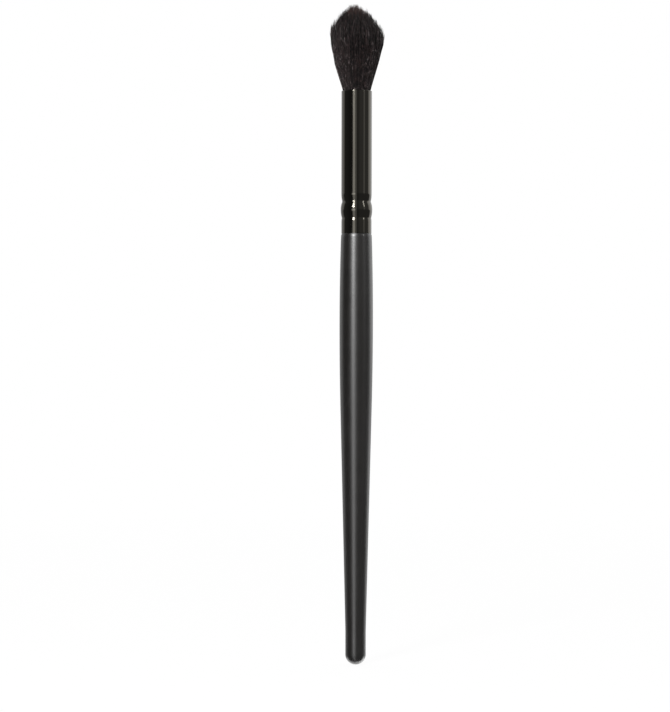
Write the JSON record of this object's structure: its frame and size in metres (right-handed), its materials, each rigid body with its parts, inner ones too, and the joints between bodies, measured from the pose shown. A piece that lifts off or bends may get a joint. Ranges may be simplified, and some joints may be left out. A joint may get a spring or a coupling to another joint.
{
  "type": "eyeshadow brush",
  "caption": "Long slim make-up brush with a belly-shaped turned handle, a crimped metal ferrule and a flared, pointed tuft of soft loose hair for blending eyeshadow.",
  "frame": {"origin": "lowest point of the rounded tail, on the brush's axis", "axes": "+Z along the brush's axis from the tail to the hair; the brush is round, so X and Y are any two directions across it"},
  "size_m": [0.014, 0.014, 0.1727],
  "materials": {
    "lacquered_wood": "turned wood under a matte charcoal-black lacquer with a soft sheen",
    "black_nickel": "drawn tube with a glossy dark gunmetal plating",
    "black_hair": "fine soft synthetic filaments, near black with a faint brown tinge at the tips, satin sheen",
    "binding_thread": "undyed waxed thread",
    "set_glue": "hard amber resin"
  },
  "bodies": {
    "root": {"handle": "lacquered_wood", "ferrule": "black_nickel", "bristle_tuft": "black_hair", "root_binding_thread": "binding_thread", "root_glue_plug": "set_glue", "tenon_glue_cap": "set_glue"}
  },
  "joints": []
}
